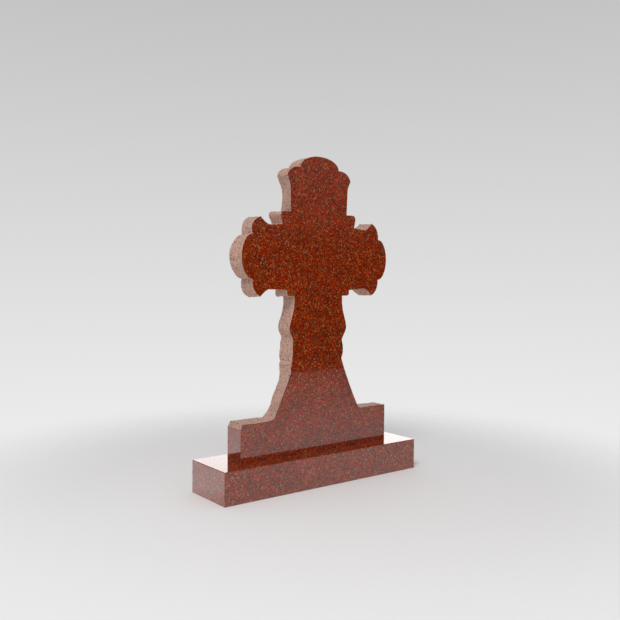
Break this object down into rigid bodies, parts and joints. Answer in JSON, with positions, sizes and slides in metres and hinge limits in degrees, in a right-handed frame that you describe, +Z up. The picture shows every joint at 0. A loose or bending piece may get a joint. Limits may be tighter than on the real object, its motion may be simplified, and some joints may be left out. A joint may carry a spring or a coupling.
{
  "type": "orthodox cross headstone",
  "caption": "Freestanding granite headstone: a flat slab cut as a cross with budded ends, standing on a plain rectangular base.",
  "frame": {"origin": "middle of the base's underside", "axes": "+Z up; the slab's front faces -Y; +X to the right seen from the front"},
  "size_m": [0.834, 0.206, 1.1333],
  "materials": {
    "base_granite": null,
    "stele_granite": null
  },
  "bodies": {
    "root": {"base": "base_granite", "cross_stele": "stele_granite"}
  },
  "joints": []
}
